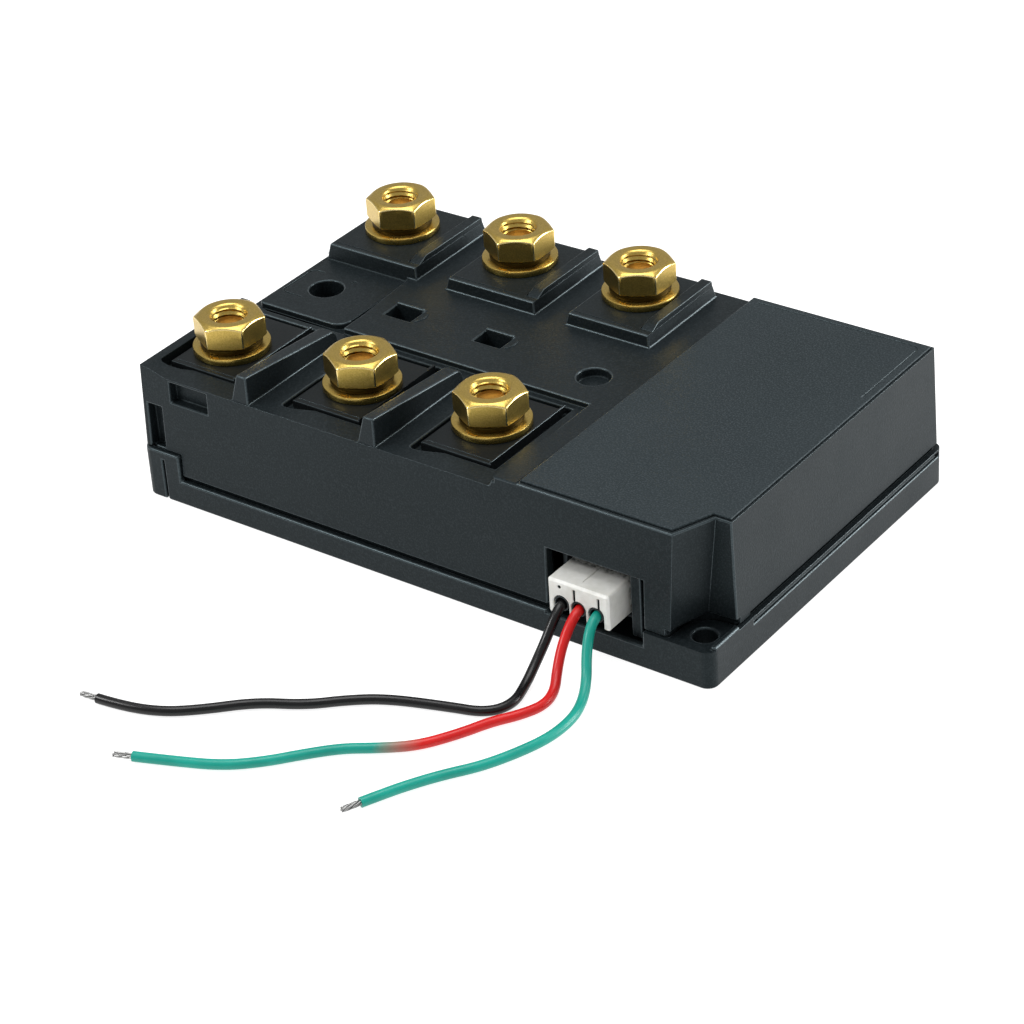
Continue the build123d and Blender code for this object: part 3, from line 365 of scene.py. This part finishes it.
TIP_LENGTH = 4.1
TIP_SHORTFALLS = (0.0, 0.12, 0.3, 0.05, 0.22, 0.38, 0.16)   # how much shorter each strand is
STRAND_R, STRAND_SPACING = 0.205, 0.40
STRAND_TWIST = 150               # degrees over the tip's length
TIP_OVERLAP = 0.1                # how far the strands start inside the insulation


def strand_tip(name, start, heading):
    """Bare end of a wire: one tinned strand with six twisted round it, all a little uneven in length."""
    bm = bmesh.new()
    across = heading.cross(Vector((0, 0, 1))).normalized()
    above = across.cross(heading).normalized()
    rings, sides = 22, 10

    def round_about(angle):
        return across * math.cos(angle) + above * math.sin(angle)

    for strand, shortfall in enumerate(TIP_SHORTFALLS):
        rows = []
        spacing = 0.0 if strand == 0 else STRAND_SPACING
        for ring in range(rings + 1):
            t = ring / rings
            turn = math.radians(60 * strand + STRAND_TWIST * t)
            middle = heading * (t * (TIP_LENGTH - shortfall)) + round_about(turn) * spacing
            r = STRAND_R * (1.0 if ring < rings else 0.7)
            rows.append([
                bm.verts.new((start + middle + round_about(2 * math.pi * k / sides) * r) * MM)
                for k in range(sides)
            ])
        skin(bm, rows)
        bm.faces.new(rows[0])
        bm.faces.new(rows[-1])
    return mesh_object(name, bm, MAT["strand"], 50)


for colour, route in ROUTES.items():
    curve = bpy.data.curves.new(f"cord_{colour}", "CURVE")
    curve.dimensions = "3D"
    spline = curve.splines.new("NURBS")
    spline.points.add(len(route) - 1)
    for point, place in zip(spline.points, route):
        point.co = (*(v * MM for v in place), 1.0)
    spline.order_u = 3
    spline.use_endpoint_u = True
    spline.resolution_u = 12
    curve.bevel_depth = WIRE_R * MM
    curve.bevel_resolution = 6
    curve.use_fill_caps = True
    curve.materials.append(MAT[colour])
    cord = link(bpy.data.objects.new(f"cord_{colour}", curve))
    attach(cord, "plug")
    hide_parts(f"wire_{colour}")
    end = Vector(route[-1])
    heading = (end - Vector(route[-2])).normalized()
    tip = strand_tip(f"tip_{colour}", end - heading * TIP_OVERLAP, heading)
    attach(tip, "plug")
    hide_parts(f"wire_tip_{colour}")


# ---------------------------------------------------------------- softened copies of CAD pieces
SHARP = math.radians(35.0)       # an edge that bends more than this is rounded
FLAT = math.radians(1.0)         # faces that bend less than this are one flat
ROOM = 2.2                       # free width beside an edge that a full round asks for, in rounds
STRAIGHT = 0.80                  # cosine above which two edges run in one line
NEAR_NOTHING = 1e-7              # metres


def flat_regions(bm):
    """Each face's flat: the faces joined across edges that don't bend share one number."""
    region = {}
    for face in bm.faces:
        if face in region:
            continue
        region[face] = face.index
        stack = [face]
        while stack:
            for edge in stack.pop().edges:
                if len(edge.link_faces) == 2 and edge.calc_face_angle(0.0) < FLAT:
                    for other in edge.link_faces:
                        if other not in region:
                            region[other] = face.index
                            stack.append(other)
    return region


def region_borders(bm, region):
    """The edges round each flat."""
    borders = {}
    for edge in bm.edges:
        if len(edge.link_faces) == 2:
            a, b = (region[face] for face in edge.link_faces)
            if a != b:
                borders.setdefault(a, []).append(edge)
                borders.setdefault(b, []).append(edge)
    return borders


def free_width(edge, region, borders, wanted):
    """How wide the flats beside an edge are, measured at three places, up to the width wanted."""
    along = edge.verts[1].co - edge.verts[0].co
    if along.length <= NEAR_NOTHING:
        return wanted
    along.normalize()
    free = wanted
    for face in edge.link_faces:
        loop = next(corner for corner in face.loops if corner.edge == edge)
        inward = face.normal.cross((loop.link_loop_next.vert.co - loop.vert.co).normalized())
        for t in (0.15, 0.5, 0.85):
            origin = edge.verts[0].co.lerp(edge.verts[1].co, t)
            for other in borders.get(region[face], ()):
                if other == edge:
                    continue
                p, q = (vert.co - origin for vert in other.verts)
                p_along, q_along = p.dot(along), q.dot(along)
                if p_along * q_along > 0:
                    continue
                p_in, q_in = p.dot(inward), q.dot(inward)
                hit = p_in
                if abs(p_along - q_along) >= 1e-9:
                    hit = p_in + (q_in - p_in) * (p_along / (p_along - q_along))
                if NEAR_NOTHING < hit < free:
                    free = hit
    return free


def even_out(bm, weight):
    """Gives edges that run on into each other one bevel width, and hardly any where they fold back."""
    joined, folded = [], set()
    for vert in bm.verts:
        hard = [e for e in vert.link_edges if e[weight] > 0.0]
        for i, a in enumerate(hard):
            for b in hard[i + 1:]:
                a_way, b_way = ((e.other_vert(vert).co - vert.co).normalized() for e in (a, b))
                turn = a_way.dot(b_way)
                if turn < -STRAIGHT:
                    joined.append((a, b))
                elif turn > STRAIGHT:
                    folded.update((a, b))
    for edge in folded:
        edge[weight] = min(edge[weight], 0.02)
    changed = True
    while changed:
        changed = False
        for a, b in joined:
            least = min(a[weight], b[weight])
            if a[weight] != least or b[weight] != least:
                a[weight] = b[weight] = least
                changed = True


def mark_outer_edges(mesh):
    """Keeps the second material, a painted highlight, on rounds of outer edges only, not in inner
    corners.
    """
    bm = bmesh.new()
    bm.from_mesh(mesh)
    for face in bm.faces:
        if face.material_index == 1 and sum(e.calc_face_angle_signed(0.0) for e in face.edges) <= 0.0:
            face.material_index = 0
    bm.to_mesh(mesh)
    bm.free()


def softened(node, body, material, width, segments=2, painted_highlight=None):
    """A copy of a CAD node with rounded edges; narrow features get a narrower round.

    The rounds of outer edges take a second material, if one is given: a lighter colour painted on as edge
    highlight.
    """
    bm = bmesh.new()
    bm.from_mesh(NODES[node].data)
    bmesh.ops.remove_doubles(bm, verts=bm.verts, dist=2e-6)
    bmesh.ops.dissolve_limit(bm, angle_limit=math.radians(0.4), verts=bm.verts, edges=bm.edges)
    bm.normal_update()
    weight = bm.edges.layers.float.new("bevel_weight_edge")
    region = flat_regions(bm)
    borders = region_borders(bm, region)
    room = width * MM * ROOM
    for edge in bm.edges:
        if len(edge.link_faces) == 2 and edge.calc_face_angle(0.0) >= SHARP:
            edge[weight] = max(0.0, min(1.0, free_width(edge, region, borders, room) / room))
    even_out(bm, weight)
    mesh = bpy.data.meshes.new(f"{node}_soft")
    bm.to_mesh(mesh)
    bm.free()
    mesh.materials.clear()
    mesh.materials.append(material)
    if painted_highlight:
        mesh.materials.append(painted_highlight)
    obj = link(bpy.data.objects.new(f"{node}_soft", mesh))
    bevel = obj.modifiers.new("round", "BEVEL")
    bevel.width = width * MM
    bevel.segments = segments
    bevel.limit_method = "WEIGHT"
    bevel.use_clamp_overlap = False
    bevel.loop_slide = False
    bevel.material = 1 if painted_highlight else -1
    graph = bpy.context.evaluated_depsgraph_get()
    rounded = bpy.data.meshes.new_from_object(obj.evaluated_get(graph), depsgraph=graph)
    obj.modifiers.clear()
    obj.data = rounded
    bpy.data.meshes.remove(mesh)
    if painted_highlight:
        mark_outer_edges(rounded)
    rounded.shade_smooth()
    rounded.set_sharp_from_angle(angle=SHARP)
    shade_by_area(obj)
    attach(obj, body)
    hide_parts(node)
    return obj


# the rounds of outer edges on the case, lid and seats get lighter plastic painted on as highlight
softened("base_tray", "case", MAT["case"], 0.45, 3, painted_highlight=MAT["case_edge_highlight"])
softened("upper_shell", "case", MAT["case"], 0.35, 3, painted_highlight=MAT["case_edge_highlight"])
softened("compartment_lid", "case", MAT["lid"], 0.3, painted_highlight=MAT["case_edge_highlight"])
for i in CHANNELS:
    softened(f"terminal_seat_front_{i}", "case", MAT["seat"], 0.2,
             painted_highlight=MAT["seat_edge_highlight"])
softened("socket_body", "case", MAT["socket"], 0.3)
plug = softened("plug_body", "plug", MAT["nylon"], 0.55, 3)
softened("wire_seals", "plug", MAT["seal"], 0.1)

# two narrow slits and a gate mark in the plug's face, their insides painted black as shade: middle and
# half size along X and Z
PLUG_RECESSES = ((40.8, 13.3, 0.17, 1.2), (46.3, 13.1, 0.17, 1.2), (37.5, 14.2, 0.3, 0.3))
RECESS_FRONT, RECESS_BACK = EXIT_Y + 0.25, EXIT_Y + 3.0
RECESS_MARGIN = 0.03
# painted shade: the black socket plastic goes on the recesses' insides
plug.data.materials.append(MAT["socket"])
for polygon in plug.data.polygons:
    x, y, z = (v / MM for v in polygon.center)
    for middle_x, middle_z, half_x, half_z in PLUG_RECESSES:
        beside = abs(x - middle_x) > half_x + RECESS_MARGIN or abs(z - middle_z) > half_z + RECESS_MARGIN
        if RECESS_FRONT < y < RECESS_BACK and not beside:
            polygon.material_index = 1


# ---------------------------------------------------------------- CAD pieces shown as they are
def paint(obj, material):
    """Gives every slot of an object one material."""
    if not obj.material_slots:
        obj.data.materials.append(material)
    for slot in obj.material_slots:
        slot.material = material


PLAIN = {
    "stud": ["terminal_studs_front", "terminal_studs_rear"],
    "copper": [f"copper_block_{row}_{i}" for row in ("front", "rear") for i in CHANNELS],
    "manganin": [f"resistance_strips_{i}" for i in CHANNELS],
    "board": ["circuit_board"],
    "chip": ["amplifier_chips", "controller_chip", "board_resistors", "power_inductor"],
    "can": ["capacitors"],
    "lead": ["sense_leads"],
    "tinned": ["socket_pins", "plug_contacts"],
    "steel": ["case_screws", "board_screws"],
}
for key, names in PLAIN.items():
    for name in names:
        paint(NODES[name], MAT[key])


# ---------------------------------------------------------------- terminals
PITCH = 1.25                     # M8 coarse thread

FLAT_WASHER_H, LOCK_WASHER_LOW, LOCK_WASHER_HIGH, NUT_FOOT = 1.5, 1.52, 2.68, 2.7   # above the seat
WASHER_BORE_R, FLAT_WASHER_R, LOCK_WASHER_R = 4.2, 8.0, 6.4
LOCK_WASHER_GAP = 0.9            # width of its split
LOCK_WASHER_SPLIT = 135.0        # direction of its split in degrees, away from the camera

NUT_HALF, NUT_H = 6.5, 5.3       # half the width across flats, and the height
NUT_FACE_R = 6.2                 # round bearing face under the nut
CROWN_R = 6.0                    # flat top
CROWN_SLOPE = math.tan(math.radians(30))
BORE_ROOT_R, THREAD_DEPTH = 3.78, 0.45
BORE_RIM = ((4.22, 0.05), (3.98, 0.19), (3.76, 0.42), (3.62, 0.72))   # radius and depth below the top
CORNER_R = 0.35                  # upright round on the hexagon's corners
CORNER_MID = (NUT_HALF - CORNER_R) / math.cos(math.pi / 6)            # its middle's distance
CORNER_SPAN = math.degrees(math.atan2(CORNER_R * 0.5, CORNER_MID + CORNER_R * math.cos(math.pi / 6)))
# directions round a hexagon, in degrees from a corner: closest together on the corner's round
FROM_CORNER = [0.0, 0.5 * CORNER_SPAN, CORNER_SPAN, 2.6, 5.0, 8.0, 12.0, 16.0, 20.0, 25.0]
HEX_ANGLES = sorted(
    math.radians((60 * side + 30 + turn * sign) % 360)
    for side in range(6)
    for turn in [*FROM_CORNER, 30.0]
    for sign in ((1, -1) if 0.0 < turn < 30.0 else (1,))
)

STUD_R, STUD_THREAD_DEPTH = 3.3, 0.25
STUD_LOW, STUD_HIGH = 2.4, 5.6   # the part seen in the nut, above the seat
STUD_RUN_OUT = 0.7               # height over which the thread fades out at the end


def corner_turn(angle):
    """Angle in degrees from the nearest corner of the hexagon."""
    return abs(math.degrees(angle) % 60 - 30)


def hex_radius(angle):
    """Distance to a hexagon's side at an angle, its corners rounded."""
    turn = corner_turn(angle)
    if turn > CORNER_SPAN:
        return NUT_HALF / math.cos(math.radians(30 - turn))
    turn = math.radians(turn)
    return CORNER_MID * math.cos(turn) + math.sqrt(CORNER_R ** 2 - (CORNER_MID * math.sin(turn)) ** 2)


def ridge(angle, height, depth):
    """Height of a V-thread's ridge at an angle and a height."""
    t = (height / PITCH - angle / (2 * math.pi)) % 1.0
    return depth * (1.0 - abs(2.0 * t - 1.0))


def vertex_rows(bm, rows):
    """Vertices for rows of points in millimetres."""
    return [[bm.verts.new((p[0] * MM, p[1] * MM, p[2] * MM)) for p in row] for row in rows]


def threaded_nut(name, x, y, foot, body):
    """Hexagon nut with chamfered crown, softened corners and a real helical thread."""
    bm = bmesh.new()
    top = foot + NUT_H
    rows = []

    def ring(radius, height):
        """One row of points round the nut; radius and height are numbers or functions of the angle."""
        points = []
        for a in HEX_ANGLES:
            r, z = (v(a) if callable(v) else v for v in (radius, height))
            points.append((x + r * math.cos(a), y + r * math.sin(a), z))
        rows.append(points)

    def side(inset):
        return lambda a: hex_radius(a) - inset

    def underside(rise):
        """Height of the chamfer under the nut, which climbs towards the corners."""
        return lambda a: foot + rise + max(0.0, hex_radius(a) - 6.6) * 0.35

    def crown(drop, inset=0.0):
        """Height of the cone that cuts the nut's top corners, less a drop."""
        return lambda a: top - max(0.0, hex_radius(a) - inset - CROWN_R) * CROWN_SLOPE - drop

    # underside, from the bore out
    ring(4.15, foot)
    ring(NUT_FACE_R, foot)
    ring(NUT_FACE_R + 0.15, foot + 0.12)
    ring(side(0.16), underside(0.12))
    # sides
    side_low = len(rows)
    ring(side(0.0), underside(0.30))
    ring(side(0.0), foot + NUT_H * 0.5)
    # rounded edge between the sides and the crown
    side_high = len(rows)
    ring(side(0.0), crown(0.16))
    ring(side(0.05), crown(0.05))
    ring(side(0.17), crown(0.0, 0.17))
    # crown and the rolled rim of the bore
    ring(CROWN_R + 0.02, top - 0.03)
    ring(CROWN_R - 0.25, top)
    ring(4.45, top)
    for rim_radius, rim_depth in BORE_RIM:
        ring(rim_radius, top - rim_depth)
    # thread
    thread_top, thread_foot, steps = top - 0.85, foot + 0.25, 48
    for k in range(steps + 1):
        z = thread_top + (thread_foot - thread_top) * k / steps
        ring(lambda a, z=z: BORE_ROOT_R - ridge(a, z, THREAD_DEPTH), z)
    ring(3.95, foot + 0.1)
    made = vertex_rows(bm, rows)
    skin(bm, made, closed=True)
    # painted highlight: lighter brass on the rounds where the sides meet each other and the crown
    order = {vert: (row, k) for row, verts in enumerate(made) for k, vert in enumerate(verts)}
    for face in bm.faces:
        spots = [order[vert] for vert in face.verts]
        low_row, high_row = min(row for row, _ in spots), max(row for row, _ in spots)
        at_crown = low_row in (side_high, side_high + 1) and high_row == low_row + 1
        at_corner = all(corner_turn(HEX_ANGLES[k]) <= CORNER_SPAN + 0.01 for _, k in spots)
        if at_crown or (at_corner and low_row in (side_low, side_low + 1)):
            face.material_index = 1
    obj = mesh_object(name, bm, MAT["nut"], 38, MAT["nut_edge_highlight"])
    shade_by_area(obj)
    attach(obj, body)
    return obj


def stud_end(name, x, y, seat):
    """Threaded end of a stud, seen inside the nut's bore."""
    bm = bmesh.new()
    turns, steps = 96, 44
    low, high = seat + STUD_LOW, seat + STUD_HIGH
    rows = []
    for k in range(steps + 1):
        z = low + (high - low) * k / steps
        fade = min(1.0, (high - z) / STUD_RUN_OUT)
        points = []
        for a in (2 * math.pi * n / turns for n in range(turns)):
            r = STUD_R - STUD_THREAD_DEPTH * (1.0 - fade) - ridge(a, z, STUD_THREAD_DEPTH) * fade
            points.append((x + r * math.cos(a), y + r * math.sin(a), z))
        rows.append(points)
    made = vertex_rows(bm, rows)
    skin(bm, made)
    bm.faces.new(made[0])
    centre = bm.verts.new((x * MM, y * MM, (high + 0.02) * MM))
    for k in range(turns):
        bm.faces.new((made[-1][k], made[-1][(k + 1) % turns], centre))
    obj = mesh_object(name, bm, MAT["stud"], 40)
    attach(obj, "case")
    return obj


def ring_washer(name, x, y, low, high, outer, body, material, soft, cut=None):
    """Round washer with rolled edges; cut is the angle of a lock washer's split, in degrees."""
    bm = bmesh.new()
    steps = 120
    if cut is None:
        angles = [2 * math.pi * k / steps for k in range(steps)]
    else:
        half = math.degrees(LOCK_WASHER_GAP / 2 / outer)
        angles = [math.radians(cut + half + (360 - 2 * half) * k / steps) for k in range(steps + 1)]
    inner, slight, less = WASHER_BORE_R, 0.3 * soft, 0.6 * soft
    section = [(inner + less, low), (outer - soft, low), (outer - slight, low + slight),
               (outer, low + soft), (outer, high - soft), (outer - slight, high - slight),
               (outer - soft, high), (inner + less, high), (inner, high - less), (inner, low + less)]
    made = vertex_rows(bm, [[(x + r * math.cos(a), y + r * math.sin(a), z) for r, z in section]
                            for a in angles])
    skin(bm, made, closed=cut is None)
    if cut is not None:
        bm.faces.new(made[0])
        bm.faces.new(made[-1])
    obj = mesh_object(name, bm, material, 35)
    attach(obj, body)
    return obj


# each row's terminals, and the height of the seat that their washers lie on
TERMINALS = [
    ("front", [(-57.1, -25.6), (-24.3, -24.4), (6.9, -23.5)], 29.0),
    ("rear", [(-54.5, 28.6), (-23.8, 29.0), (6.3, 29.2)], 32.4),
]
for row, places, seat in TERMINALS:
    for i, (x, y) in zip(CHANNELS, places):
        tag = f"{row}_{i}"
        flat = ring_washer(f"plain_washer_{tag}", x, y, seat, seat + FLAT_WASHER_H, FLAT_WASHER_R,
                           f"washers_{tag}", MAT["washer"], soft=0.25)
        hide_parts(f"flat_washer_{tag}")
        # the split washer takes the near-black brass painted as shade under the nut
        split = ring_washer(f"split_washer_{tag}", x, y, seat + LOCK_WASHER_LOW,
                            seat + LOCK_WASHER_HIGH, LOCK_WASHER_R, f"washers_{tag}", MAT["lock"],
                            soft=0.2, cut=LOCK_WASHER_SPLIT)
        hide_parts(f"lock_washer_{tag}")
        nut = threaded_nut(f"hex_{tag}", x, y, seat + NUT_FOOT, f"nut_{tag}")
        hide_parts(f"nut_{tag}")
        stud_end(f"stud_end_{tag}", x, y, seat)


# ---------------------------------------------------------------- studio
def softbox(name, place, target, size, power):
    """A white rectangular light aimed at a target."""
    data = bpy.data.lights.new(name, "AREA")
    data.shape = "RECTANGLE"
    data.size, data.size_y = size
    data.energy = power
    lamp = link(bpy.data.objects.new(name, data))
    lamp.location = place
    lamp.rotation_mode = "QUATERNION"
    lamp.rotation_quaternion = (Vector(target) - Vector(place)).to_track_quat("-Z", "Y")


softbox("key_top", (-0.05, 0.05, 0.85), (0, 0, 0), (0.6, 0.6), 5.0)
softbox("edge_front", (-0.45, -0.46, 0.58), (0, 0, 0.01), (0.25, 0.25), 3.0)
softbox("edge_right", (0.46, 0.58, 0.45), (0, 0, 0.01), (0.25, 0.25), 3.0)
softbox("low_right", (0.62, 0.55, 0.12), (0.05, 0, 0.015), (0.4, 0.2), 4.5)

# a floor that glows a little, so that it stays white where the part shades it
floor_mesh = bmesh.new()
bmesh.ops.create_grid(floor_mesh, x_segments=1, y_segments=1, size=6.0)
floor_nodes = Nodes("studio_floor")
floor_nodes.set(Roughness=0.9, Specular_IOR_Level=0.1,
                Emission_Color=(1.0, 1.0, 1.0, 1.0), Emission_Strength=0.86)
floor_tone = floor_nodes.spread(floor_nodes.noise(3.0), (0.3, 0.7))
floor_nodes.finish(floor_nodes.mix(floor_tone, (0.36, 0.36, 0.36), (0.38, 0.38, 0.38)))
floor = mesh_object("studio_floor", floor_mesh, floor_nodes.material)
floor.location.z = -0.00005

world = bpy.data.worlds.new("studio")
world.use_nodes = True
background = world.node_tree.nodes["Background"]
background.inputs["Color"].default_value = (1.0, 1.0, 1.0, 1.0)
background.inputs["Strength"].default_value = 0.5
bpy.context.scene.world = world
bpy.context.scene.view_settings.view_transform = "Standard"
